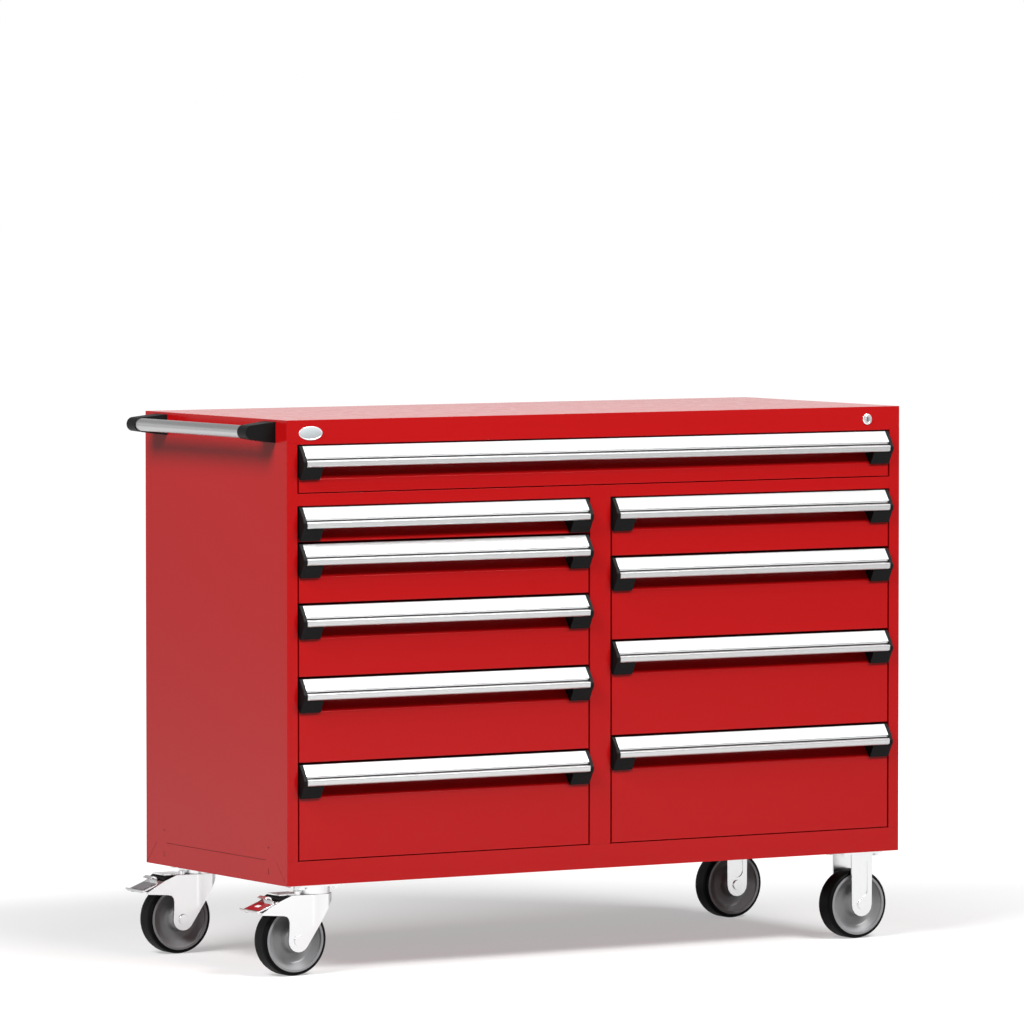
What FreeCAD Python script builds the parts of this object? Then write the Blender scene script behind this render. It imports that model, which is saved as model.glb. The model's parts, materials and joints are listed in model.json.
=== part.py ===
import FreeCAD, Part
import math
import os

import Sketcher

# Rolling tool chest: a sheet-steel cabinet with ten pull-out drawers on four casters.
# Millimetres, +Z up. The origin is on the floor, at the middle of the whole object's footprint.
# The length runs along X with the push handle at -X, and the drawers open towards -Y.
# Positions below are in cabinet coordinates: x from the cabinet's left face, y from its front
# face towards the back, z from its underside. place() turns them into the object's frame.

os.makedirs("parts", exist_ok=True)
doc = FreeCAD.newDocument("tool_chest")
sheet = doc.addObject("Spreadsheet::Sheet", "sizes")


# ---------------------------------------------------------------- sizes that carry their formula
class Size:
    """A length that knows its value and the spreadsheet formula it comes from."""

    def __init__(self, value, text=None):
        self.value = float(value)
        self.text = text if text is not None else repr(float(value))

    def __add__(self, other):
        other = as_size(other)
        return Size(self.value + other.value, f"({self.text} + {other.text})")

    def __sub__(self, other):
        other = as_size(other)
        return Size(self.value - other.value, f"({self.text} - {other.text})")

    def __mul__(self, other):
        other = as_size(other)
        return Size(self.value * other.value, f"({self.text} * {other.text})")

    def __truediv__(self, other):
        other = as_size(other)
        return Size(self.value / other.value, f"({self.text} / {other.text})")

    def __neg__(self):
        return Size(-self.value, f"(-1 * {self.text})")

    def __radd__(self, other):
        return as_size(other) + self

    def __rsub__(self, other):
        return as_size(other) - self

    def __rmul__(self, other):
        return as_size(other) * self


def as_size(value):
    return value if isinstance(value, Size) else Size(value)


sheet_row = 0


def size(name, value):
    """Writes one driving dimension into the spreadsheet and returns it."""
    global sheet_row
    sheet_row += 1
    sheet.set(f"A{sheet_row}", name)
    sheet.set(f"B{sheet_row}", str(value))
    sheet.setAlias(f"B{sheet_row}", name)
    return Size(value, f"sizes.{name}")


# cabinet
housing_length = size("housing_length", 1524)
housing_depth = size("housing_depth", 609.6)
housing_height = size("housing_height", 965.2)
ground_clearance = size("ground_clearance", 190.5)
skin = size("skin", 1.5)
stile_width = size("stile_width", 25.4)
post_width = size("post_width", 50.8)
base_rail = size("base_rail", 50.8)
mid_rail = size("mid_rail", 25.4)
top_rail = size("top_rail", 50.8)
cap_band = size("cap_band", 47.2)
return_depth = size("return_depth", 30)
rear_post = size("rear_post", 49.6)
seam_depth = size("seam_depth", 0.7)
seam_width = size("seam_width", 1.0)

# drawers
top_drawer_height = size("top_drawer_height", 101.6)
drawer_gap = size("drawer_gap", 4)
pull_gap = size("pull_gap", 3)
front_depth = size("front_depth", 20)
recess_depth = size("recess_depth", 18)
recess_knee = size("recess_knee", 50)
bend_drop = size("bend_drop", 72)
tray_length = size("tray_length", 555)
tray_skin = size("tray_skin", 1.2)
tray_lift = size("tray_lift", 6)
tray_drop = size("tray_drop", 18)

# drawer pulls
lip_reach = size("lip_reach", 22.5)
cap_thickness = size("cap_thickness", 8)
foot_width = size("foot_width", 48)
foot_drop = size("foot_drop", 73)

# drawer slides
slide_gap = size("slide_gap", 14.2)
slide_web = size("slide_web", 1.2)
slide_setback = size("slide_setback", 25)
slide_length = size("slide_length", 540)
carriage_length = size("carriage_length", 500)
slide_centre = size("slide_centre", 32)
fixed_height = size("fixed_height", 45)
carriage_height = size("carriage_height", 41.6)
runner_height = size("runner_height", 38.2)

# push handle
bar_reach = size("bar_reach", 71)
bar_radius = size("bar_radius", 13.5)
bracket_tip = size("bracket_tip", 15)
bar_height = size("bar_height", 940)
bracket_width = size("bracket_width", 51)
bracket_inset = size("bracket_inset", 46)
bracket_flare = size("bracket_flare", 14)

# casters
wheel_radius = size("wheel_radius", 75)
rim_radius = size("rim_radius", 67)
tread_width = size("tread_width", 46)
axle_radius = size("axle_radius", 6)
running_gap = size("running_gap", 0.05)
fork_half = size("fork_half", 37.5)
fork_plate = size("fork_plate", 3.5)
front_axle_row = size("front_axle_row", 53)
rear_axle_row = size("rear_axle_row", 550)
swivel_axis = size("swivel_axis", 88)
swivel_trail = size("swivel_trail", 51.5)
rigid_inset = size("rigid_inset", 84)
plate_length = size("plate_length", 100)
plate_width = size("plate_width", 85)
plate_thickness = size("plate_thickness", 5)
bolt_radius = size("bolt_radius", 4)
bolt_spacing_x = size("bolt_spacing_x", 80)
bolt_spacing_y = size("bolt_spacing_y", 60)

doc.recompute()

# drawer columns, each from its top drawer down
left_heights = [
    size("left_first_height", 76.2),
    size("left_second_height", 127),
    size("left_third_height", 152.4),
    size("left_fourth_height", 177.8),
    size("left_fifth_height", 203.2),
]
right_heights = [
    size("right_first_height", 127),
    size("right_second_height", 177.8),
    size("right_third_height", 203.2),
    size("right_fourth_height", 228.6),
]
doc.recompute()

left_edge = (bar_reach - housing_length) / 2
front_edge = (lip_reach - housing_depth) / 2
column_top = housing_height - top_rail - top_drawer_height - mid_rail
crossrail_top = housing_height - top_rail - top_drawer_height
opening_top = housing_height - top_rail
seam_height = housing_height - cap_band
post_left = housing_length / 2 - post_width / 2
post_right = housing_length / 2 + post_width / 2
right_stile = housing_length - stile_width


# ---------------------------------------------------------------- building blocks
def drive(thing, path, value):
    """Sets a property and, if the value comes from the sheet, binds it."""
    value = as_size(value)
    if "." not in path:
        setattr(thing, path, value.value)
    if "sizes." in value.text:
        thing.setExpression(path, value.text)


def place(thing, x, y, z, rotation=None):
    """Puts a thing at cabinet coordinates x, y, z."""
    world = (left_edge + x, front_edge + y, ground_clearance + z)
    base = FreeCAD.Vector(*[part.value for part in world])
    thing.Placement = FreeCAD.Placement(base, rotation or FreeCAD.Rotation())
    for letter, part in zip("xyz", world):
        thing.setExpression(f".Placement.Base.{letter}", part.text)
    return thing


def box(name, x, y, z, length, width, height):
    made = doc.addObject("Part::Box", name)
    drive(made, "Length", length)
    drive(made, "Width", width)
    drive(made, "Height", height)
    return place(made, x, y, z)


ALONG_X = FreeCAD.Rotation(FreeCAD.Vector(0, 1, 0), 90)
ALONG_Y = FreeCAD.Rotation(FreeCAD.Vector(1, 0, 0), -90)
ALONG_Z = FreeCAD.Rotation()


def cylinder(name, x, y, z, radius, height, axis=ALONG_Z):
    made = doc.addObject("Part::Cylinder", name)
    drive(made, "Radius", radius)
    drive(made, "Height", height)
    return place(made, x, y, z, axis)


def hexagon(name, x, y, z, radius, height, axis=ALONG_Z):
    made = doc.addObject("Part::Prism", name)
    made.Polygon = 6
    drive(made, "Circumradius", radius)
    drive(made, "Height", height)
    return place(made, x, y, z, axis)


def outline(body, plane, points, name):
    """A closed sketch through the points, each held by its own pair of distances."""
    sketch = body.newObject("Sketcher::SketchObject", name)
    origin_plane = [f for f in body.Origin.OriginFeatures if f.Role == plane][0]
    sketch.AttachmentSupport = [(origin_plane, "")]
    sketch.MapMode = "FlatFace"
    corners = [(as_size(a), as_size(b)) for a, b in points]
    count = len(corners)
    for i in range(count):
        start = corners[i]
        end = corners[(i + 1) % count]
        first = FreeCAD.Vector(start[0].value, start[1].value, 0)
        last = FreeCAD.Vector(end[0].value, end[1].value, 0)
        sketch.addGeometry(Part.LineSegment(first, last), False)
    for i in range(count):
        following = (i + 1) % count
        sketch.addConstraint(Sketcher.Constraint("Coincident", i, 2, following, 1))
    for i, corner in enumerate(corners):
        for kind, part in zip(("DistanceX", "DistanceY"), corner):
            held = Sketcher.Constraint(kind, -1, 1, i, 1, part.value)
            number = sketch.addConstraint(held)
            if "sizes." in part.text:
                sketch.setExpression(f"Constraints[{number}]", part.text)
    return sketch


def prism(name, plane, points, length, x, y, z):
    """A straight extrusion of an outline: along +Z, +Y or +X for the planes XY, XZ and YZ."""
    body = doc.addObject("PartDesign::Body", name)
    sketch = outline(body, f"{plane}_Plane", points, f"{name}_outline")
    pad = body.newObject("PartDesign::Pad", f"{name}_pad")
    pad.Profile = sketch
    drive(pad, "Length", length)
    pad.Reversed = plane == "XZ"
    body.Tip = pad
    return place(body, x, y, z)


def turned(name, points, x, y, z):
    """A ring or disc turned about Y. Points are (radius, distance along Y)."""
    body = doc.addObject("PartDesign::Body", name)
    sketch = outline(body, "XY_Plane", points, f"{name}_outline")
    spin = body.newObject("PartDesign::Revolution", f"{name}_spin")
    spin.Profile = sketch
    spin.ReferenceAxis = (sketch, ["V_Axis"])
    spin.Angle = 360
    body.Tip = spin
    return place(body, x, y, z)


def fuse(name, things):
    made = doc.addObject("Part::MultiFuse", name)
    made.Shapes = things
    made.Refine = True
    return made


def cut(name, base, tools):
    made = doc.addObject("Part::Cut", name)
    made.Base = base
    made.Tool = tools[0] if len(tools) == 1 else fuse(f"{name}_tools", tools)
    made.Refine = True
    return made


def group(name, things):
    made = doc.addObject("Part::Compound", name)
    made.Links = things
    return made


nodes = {}


def node(name, thing):
    """Registers a finished sub-part under its node name."""
    thing.Label = name
    nodes[name] = thing
    return thing


# ---------------------------------------------------------------- cabinet shell
def side_panel(name, mirrored):
    """One folded sheet: side wall, boxed front stile and boxed rear post."""

    def across(distance):
        return housing_length - distance if mirrored else as_size(distance)

    rear = housing_depth - rear_post
    section = [
        (0, 0),
        (stile_width, 0),
        (stile_width, return_depth),
        (stile_width - skin, return_depth),
        (stile_width - skin, skin),
        (skin, skin),
        (skin, housing_depth - skin),
        (stile_width - skin, housing_depth - skin),
        (stile_width - skin, rear),
        (stile_width, rear),
        (stile_width, housing_depth),
        (0, housing_depth),
    ]
    points = [(across(a) if mirrored else a, b) for a, b in section]
    panel = prism(f"{name}_sheet", "XY", points, seam_height, 0, 0, 0)

    # folded-corner seams: two mitre lines, the lower slit and the stile's cross seam
    face = housing_length - seam_depth if mirrored else Size(0)
    tools = [
        box(f"{name}_slit", face, 90.5, 48, seam_depth, 428, seam_width),
        box(
            f"{name}_cross",
            right_stile if mirrored else 0,
            0,
            base_rail - seam_width / 2,
            stile_width,
            seam_depth,
            seam_width / 2,
        ),
    ]
    for where, edge, turn in (("front", Size(0), 1), ("back", housing_depth, -1)):
        line = [
            (0, 0),
            (turn * seam_width, 0),
            (turn * (45 + seam_width), 47),
            (turn * as_size(45), 47),
        ]
        tools.append(
            prism(f"{name}_{where}_mitre", "YZ", line, seam_depth, face, edge, 0)
        )
    wall = housing_length - skin - 1 if mirrored else Size(-1)
    for number, (along, up) in enumerate(
        ((78.8, 75.4), (78.8, 27.6), (78.8, 21.5), (530.7, 75.4), (530.7, 27.6), (530.7, 21.5))
    ):
        tools.append(
            cylinder(f"{name}_hole_{number}", wall, along, up, 1.8, skin + 2, ALONG_X)
        )
    return node(name, cut(f"{name}_cut", panel, tools))


side_panel("left_side_panel", False)
side_panel("right_side_panel", True)

inner_length = housing_length - 2 * stile_width
node(
    "back_panel",
    box(
        "back_sheet",
        stile_width,
        housing_depth - skin,
        0,
        inner_length,
        skin,
        seam_height,
    ),
)

# top cap: a shallow lid whose front band also carries the lock
lid = box("lid_outer", 0, 0, seam_height, housing_length, housing_depth, cap_band)
lid_hollow = box(
    "lid_hollow",
    skin,
    skin,
    seam_height - 1,
    housing_length - 2 * skin,
    housing_depth - 2 * skin,
    cap_band - skin + 1,
)
lid_shell = cut("lid_shell", lid, [lid_hollow])
fascia_drop = top_rail - cap_band
fascia = box(
    "fascia_strip",
    stile_width,
    0,
    opening_top,
    inner_length,
    skin,
    fascia_drop + skin,
)
fascia_return = box(
    "fascia_return",
    stile_width,
    0,
    opening_top,
    inner_length,
    return_depth,
    skin,
)
lock_x = housing_length - 84
lock_z = housing_height - 27
lock_hole = cylinder("lock_hole", lock_x, -1, lock_z, 9.7, skin + 2, ALONG_Y)
lid_body = fuse("lid_body", [lid_shell, fascia, fascia_return])
node("top_cap", cut("lid_cut", lid_body, [lock_hole]))

# base pan: floor with four upstands; the front one is the base rail
rear_inner = housing_depth - skin
pan = box("pan_outer", stile_width, 0, 0, inner_length, rear_inner, base_rail)
pan_hollow = box(
    "pan_hollow",
    stile_width + skin,
    skin,
    skin,
    inner_length - 2 * skin,
    rear_inner - 2 * skin,
    base_rail,
)
pan_shell = cut("pan_shell", pan, [pan_hollow])
rigid_axis = housing_length - rigid_inset
caster_spots = [
    ("front_left", swivel_axis, front_axle_row),
    ("rear_left", swivel_axis, rear_axle_row),
    ("front_right", rigid_axis, front_axle_row),
    ("rear_right", rigid_axis, rear_axle_row),
]


def bolt_places(axis_x, axis_y):
    """The four corners of one caster's bolt pattern."""
    spots = []
    for side in (-1, 1):
        for end in (-1, 1):
            x = axis_x + side * bolt_spacing_x / 2
            y = axis_y + end * bolt_spacing_y / 2
            spots.append((x, y))
    return spots


pan_holes = []
bolts = []
for corner, axis_x, axis_y in caster_spots:
    for number, (x, y) in enumerate(bolt_places(axis_x, axis_y)):
        tag = f"{corner}_{number}"
        hole = cylinder(f"pan_hole_{tag}", x, y, -1, bolt_radius + 0.3, skin + 2)
        pan_holes.append(hole)
        head = hexagon(f"bolt_head_{tag}", x, y, -plate_thickness - 6, 7.5, 6)
        shank = cylinder(f"bolt_shank_{tag}", x, y, -plate_thickness - 1, bolt_radius, 15)
        bolts.append(fuse(f"bolt_{tag}", [head, shank]))
node("base_pan", cut("pan_cut", pan_shell, pan_holes))
node("caster_bolts", group("bolt_set", bolts))

# centre post: front and rear channels joined by the divider sheet
wide = post_width
web_near = post_width / 2 - skin / 2
web_far = post_width / 2 + skin / 2
back = rear_inner
rear_lip = housing_depth - rear_post
divider = [
    (0, 0),
    (wide, 0),
    (wide, return_depth),
    (wide - skin, return_depth),
    (wide - skin, skin),
    (web_far, skin),
    (web_far, back - skin),
    (wide - skin, back - skin),
    (wide - skin, rear_lip),
    (wide, rear_lip),
    (wide, back),
    (0, back),
    (0, rear_lip),
    (skin, rear_lip),
    (skin, back - skin),
    (web_near, back - skin),
    (web_near, skin),
    (skin, skin),
    (skin, return_depth),
    (0, return_depth),
]
post_height = crossrail_top - base_rail
node(
    "centre_post",
    prism("post_sheet", "XY", divider, post_height, post_left, 0, base_rail),
)

# crossrail between the top drawer and the two columns, one length on each side of the post
rails = []
for side, start, end in (
    ("left", stile_width, post_left),
    ("right", post_right, right_stile),
):
    bar = box(f"crossrail_{side}_bar", start, 0, column_top, end - start, return_depth, mid_rail)
    hollow = box(
        f"crossrail_{side}_hollow",
        start,
        skin,
        column_top + skin,
        end - start,
        return_depth,
        mid_rail - 2 * skin,
    )
    rails.append(cut(f"crossrail_{side}", bar, [hollow]))
node("crossrail", group("crossrail_pair", rails))


# ---------------------------------------------------------------- drawers
def slide_pieces(tag, kind, wall_x, inward, y, z):
    """One member of a telescopic slide. inward is +1 when the drawer lies at +X of the wall."""

    def span(near, far):
        """Left edge and length of a strip between two distances from the wall."""
        start = wall_x + near if inward > 0 else wall_x - far
        return start, far - near

    if kind == "fixed":
        start, length = span(Size(0), Size(5.5))
        solid = box(f"{tag}_c", start, y, z - fixed_height / 2, length, slide_length, fixed_height)
        inner = fixed_height - 2 * slide_web
        start, length = span(slide_web, Size(6.5))
        hollows = [box(f"{tag}_h", start, y - 1, z - inner / 2, length, slide_length + 2, inner)]
    elif kind == "carriage":
        start, length = span(Size(1.8), Size(12.2))
        solid = box(
            f"{tag}_c", start, y, z - carriage_height / 2, length, carriage_length, carriage_height
        )
        inner = carriage_height - 2 * slide_web
        hollows = []
        for part, near, far in (("a", Size(0.8), Size(6.4)), ("b", 6.4 + slide_web, Size(13.2))):
            start, length = span(near, far)
            bottom = z - inner / 2
            hollows.append(
                box(f"{tag}_h{part}", start, y - 1, bottom, length, carriage_length + 2, inner)
            )
    else:
        start, length = span(Size(8.8), slide_gap)
        solid = box(
            f"{tag}_c", start, y, z - runner_height / 2, length, slide_length, runner_height
        )
        inner = runner_height - 2 * slide_web
        start, length = span(Size(7.8), slide_gap - slide_web)
        hollows = [box(f"{tag}_h", start, y - 1, z - inner / 2, length, slide_length + 2, inner)]
    return cut(tag, solid, hollows)


def pull_profile():
    """Section of the aluminium pull, (y, z) from the front plane and the opening's top."""
    lip = -(lip_reach - 0.5)
    return [
        (front_depth, -pull_gap),
        (0, -pull_gap),
        (-16, -25.2),
        (-15.8, -26.4),
        (-12.6, -27),
        (-12.6, -32),
        (-17.8, -32),
        (-21, -33.4),
        (lip, -35.6),
        (lip, -39.8),
        (lip + 0.9, -43.8),
        (lip + 3.4, -46.2),
        (-15.8, -46.5),
        (-12.6, -43.5),
        (-11, -38),
        (-10.7, -25.5),
        (0.3, -5.5),
        (front_depth, -5.5),
    ]


def cap_profile():
    """Section of the plastic end cap, which also closes the end of the finger recess."""
    return [
        (front_depth, -2.5),
        (-0.5, -2.5),
        (-17, -25.5),
        (-19, -32),
        (-lip_reach, -35.5),
        (-lip_reach, -42.5),
        (-20, -47.5),
        (-17, -50),
        (-4.5, -foot_drop),
        (0, -foot_drop),
        (0, -bend_drop),
        (recess_depth, -recess_knee),
        (recess_depth, -5.5),
        (front_depth, -5.5),
    ]


def foot_profile():
    """Section of the block that stands under the pull's lip at each end."""
    return [
        (-17.5, -46.7),
        (-17, -50),
        (-4.5, -foot_drop),
        (0, -foot_drop),
        (0, -bend_drop),
        (recess_depth, -recess_knee),
        (recess_depth, -46.7),
    ]


fixed_members = []


def drawer(name, start, end, top, height):
    """One drawer in the opening from start to end whose top edge is at top."""
    width = end - start
    floor = top - height
    front_start = start + drawer_gap
    front_length = width - 2 * drawer_gap
    foot = -height + drawer_gap / 2

    # front: a folded pan with a sloping finger recess under the pull
    shape = [
        (front_depth, -5.5),
        (recess_depth, -5.5),
        (recess_depth, -recess_knee),
        (0, -bend_drop),
        (0, foot),
        (front_depth, foot),
    ]
    front = prism(f"{name}_front_block", "YZ", shape, front_length, front_start, 0, top)
    inside = [
        (front_depth, -recess_knee - 0.6),
        (front_depth + 3, -recess_knee - 0.6),
        (front_depth + 3, foot + skin),
        (skin, foot + skin),
        (skin, -bend_drop - 0.6),
    ]
    hollow = prism(
        f"{name}_front_hollow",
        "YZ",
        inside,
        front_length - 2 * skin,
        front_start + skin,
        0,
        top,
    )

    # tray: floor and four walls behind the front
    tray_start = start + slide_gap
    tray_width = width - 2 * slide_gap
    tray_bottom = floor + tray_lift
    tray_height = height - tray_lift - tray_drop
    tray_outer = box(
        f"{name}_tray_outer",
        tray_start,
        front_depth,
        tray_bottom,
        tray_width,
        tray_length,
        tray_height,
    )
    tray_hollow = box(
        f"{name}_tray_hollow",
        tray_start + tray_skin,
        front_depth + tray_skin,
        tray_bottom + tray_skin,
        tray_width - 2 * tray_skin,
        tray_length - 2 * tray_skin,
        tray_height,
    )
    front_pan = cut(f"{name}_front", front, [hollow])
    tray = cut(f"{name}_tray", tray_outer, [tray_hollow])
    shell = fuse(f"{name}_shell", [front_pan, tray])

    slide_z = floor + slide_centre
    runners = []
    carriages = []
    for side, wall, inward in (("left", start, 1), ("right", end, -1)):
        tag = f"{name}_{side}"
        fixed_members.append(
            slide_pieces(f"{tag}_fixed", "fixed", wall, inward, slide_setback, slide_z)
        )
        carriages.append(
            slide_pieces(f"{tag}_carriage", "carriage", wall, inward, slide_setback + 10, slide_z)
        )
        runners.append(
            slide_pieces(f"{tag}_runner", "runner", wall, inward, slide_setback, slide_z)
        )
    node(f"{name}_box", group(f"{name}_box_set", [shell] + runners))
    node(f"{name}_carriage", group(f"{name}_carriage_set", carriages))

    # pull: aluminium extrusion between two plastic end caps
    bar_start = front_start + cap_thickness
    bar_length = front_length - 2 * cap_thickness
    bar = prism(f"{name}_pull_bar", "YZ", pull_profile(), bar_length, bar_start, 0, top)
    pieces = [bar]
    for side, plate_start, foot_start in (
        ("left", front_start, front_start),
        (
            "right",
            end - drawer_gap - cap_thickness,
            end - drawer_gap - foot_width,
        ),
    ):
        tag = f"{name}_{side}_cap"
        plate = prism(f"{tag}_plate", "YZ", cap_profile(), cap_thickness, plate_start, 0, top)
        block = prism(f"{tag}_foot", "YZ", foot_profile(), foot_width, foot_start, 0, top)
        pieces.append(fuse(tag, [plate, block]))
    node(f"{name}_handle", group(f"{name}_handle_set", pieces))


drawer("drawer_top", stile_width, right_stile, opening_top, top_drawer_height)
for column, start, end, heights in (
    ("left", stile_width, post_left, left_heights),
    ("right", post_right, right_stile, right_heights),
):
    top = column_top
    for number, height in enumerate(heights, 1):
        drawer(f"drawer_{column}_{number}", start, end, top, height)
        top = top - height
node("cabinet_slides", group("fixed_member_set", fixed_members))

# ---------------------------------------------------------------- push handle
bar_x = -(bar_reach - bracket_tip)
socket_depth = 40
mouth_inset = bracket_inset + bracket_width - bracket_flare
bar_start = mouth_inset - 31.5
bar_end = housing_depth - bar_start
node(
    "push_handle_bar",
    cylinder(
        "push_bar",
        bar_x,
        bar_start,
        bar_height,
        bar_radius,
        bar_end - bar_start,
        ALONG_Y,
    ),
)
brackets = []
for place_name, start, way, socket_start in (
    ("front", bracket_inset, 1, bar_start - 0.3),
    ("rear", housing_depth - bracket_inset, -1, bar_end + 0.3 - socket_depth),
):
    first = start if way > 0 else start - bracket_width
    arm_shape = [
        (0, -23),
        (0, 21),
        (bar_x, bracket_tip),
        (bar_x, -bracket_tip),
    ]
    arm = prism(
        f"bracket_{place_name}_arm",
        "XZ",
        arm_shape,
        bracket_width,
        0,
        first,
        bar_height,
    )
    tip = cylinder(
        f"bracket_{place_name}_tip", bar_x, first, bar_height, bracket_tip, bracket_width, ALONG_Y
    )
    solid = fuse(f"bracket_{place_name}_solid", [arm, tip])
    inner = start + way * bracket_width
    mouth = start + way * (bracket_width - bracket_flare)
    wedge_shape = [
        (0, inner),
        (bar_x, mouth),
        (-bar_reach - 5, mouth),
        (-bar_reach - 5, inner + way * 5),
        (0, inner + way * 5),
    ]
    wedge = prism(
        f"bracket_{place_name}_wedge", "XY", wedge_shape, 60, 0, 0, bar_height - 30
    )
    socket = cylinder(
        f"bracket_{place_name}_socket",
        bar_x,
        socket_start,
        bar_height,
        bar_radius + running_gap,
        socket_depth,
        ALONG_Y,
    )
    brackets.append(cut(f"bracket_{place_name}", solid, [wedge, socket]))
node("push_handle_brackets", group("bracket_pair", brackets))

# ---------------------------------------------------------------- badge plate and lock
oval = doc.addObject("Part::Ellipse", "badge_outline")
oval.MajorRadius = 28
oval.MinorRadius = 14.5
place(oval, 57, -1.2, housing_height - 27.5, FreeCAD.Rotation(FreeCAD.Vector(1, 0, 0), 90))
badge = doc.addObject("Part::Extrusion", "badge_solid")
badge.Base = oval
badge.DirMode = "Custom"
badge.Dir = FreeCAD.Vector(0, 1, 0)
badge.LengthFwd = 1.2
badge.Solid = True
node("badge_plate", badge)

barrel = cylinder("lock_barrel", lock_x, 0, lock_z, 9.5, 22, ALONG_Y)
flange = cylinder("lock_flange", lock_x, -2.5, lock_z, 11.6, 2.5, ALONG_Y)
lock_bore = cylinder("lock_bore", lock_x, -4, lock_z, 6.5 + running_gap, 30, ALONG_Y)
lock_case = fuse("lock_case", [barrel, flange])
node("lock_body", cut("lock_body_cut", lock_case, [lock_bore]))

plug = cylinder("lock_plug_core", lock_x, -2.8, lock_z, 6.5, 26.8, ALONG_Y)
keyway = box("lock_keyway", lock_x - 0.9, -3.8, lock_z - 4, 1.8, 15, 8)
cam = box("lock_cam", lock_x - 19, 22.3, lock_z - 4, 23, 1.7, 8)
plug_cut = cut("lock_plug_cut", plug, [keyway])
node("lock_plug", fuse("lock_plug_set", [plug_cut, cam]))


# ---------------------------------------------------------------- casters
def wheel(tag, x, y):
    """A tyre on a dished hub, turning on a fixed axle. y is the wheel's middle plane."""
    half = tread_width / 2
    centre_z = wheel_radius - ground_clearance
    tread = wheel_radius
    rim = rim_radius
    tyre_shape = [
        (rim, -half),
        (rim + 4, -half),
        (tread - 1.2, -half + 3.2),
        (tread, -half + 8),
        (tread, half - 8),
        (tread - 1.2, half - 3.2),
        (rim + 4, half),
        (rim, half),
    ]
    node(f"{tag}_tyre", turned(f"{tag}_tyre_ring", tyre_shape, x, y, centre_z))
    bore = axle_radius + running_gap
    inside = fork_half - fork_plate - 0.5
    hub_shape = [
        (bore, -inside),
        (16, -inside),
        (20, -half + 3),
        (26, -7),
        (44, -5.5),
        (58, -14),
        (rim - 5, -half),
        (rim - 0.02, -half),
        (rim - 0.02, half),
        (rim - 5, half),
        (58, 14),
        (44, 5.5),
        (26, 7),
        (20, half - 3),
        (16, inside),
        (bore, inside),
    ]
    node(f"{tag}_hub", turned(f"{tag}_hub_disc", hub_shape, x, y, centre_z))


def axle(tag, x, y):
    """A headed axle pin that clamps the fork's two sides."""
    centre_z = wheel_radius - ground_clearance
    pin = cylinder(
        f"{tag}_pin", x, y - fork_half - 1, centre_z, axle_radius, 2 * fork_half + 2, ALONG_Y
    )
    head = cylinder(f"{tag}_head", x, y - fork_half - 3.5, centre_z, 11, 3.5, ALONG_Y)
    nut = hexagon(f"{tag}_nut", x, y + fork_half, centre_z, 10.5, 7, ALONG_Y)
    return fuse(f"{tag}_axle", [pin, head, nut])


def fork_sides(tag, shape, x, y):
    """The two side plates of a fork, y being the middle plane."""
    made = []
    for side, start in (("near", y - fork_half), ("far", y + fork_half - fork_plate)):
        made.append(prism(f"{tag}_{side}", "XZ", shape, fork_plate, x, start, 0))
    return made


def rounded_end(centre_x, centre_z, radius, first, last, steps=9):
    """Points along an arc from angle first to angle last, in degrees."""
    points = []
    for step in range(steps):
        angle = math.radians(first + (last - first) * step / (steps - 1))
        points.append((centre_x + radius * math.cos(angle), centre_z + radius * math.sin(angle)))
    return points


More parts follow.
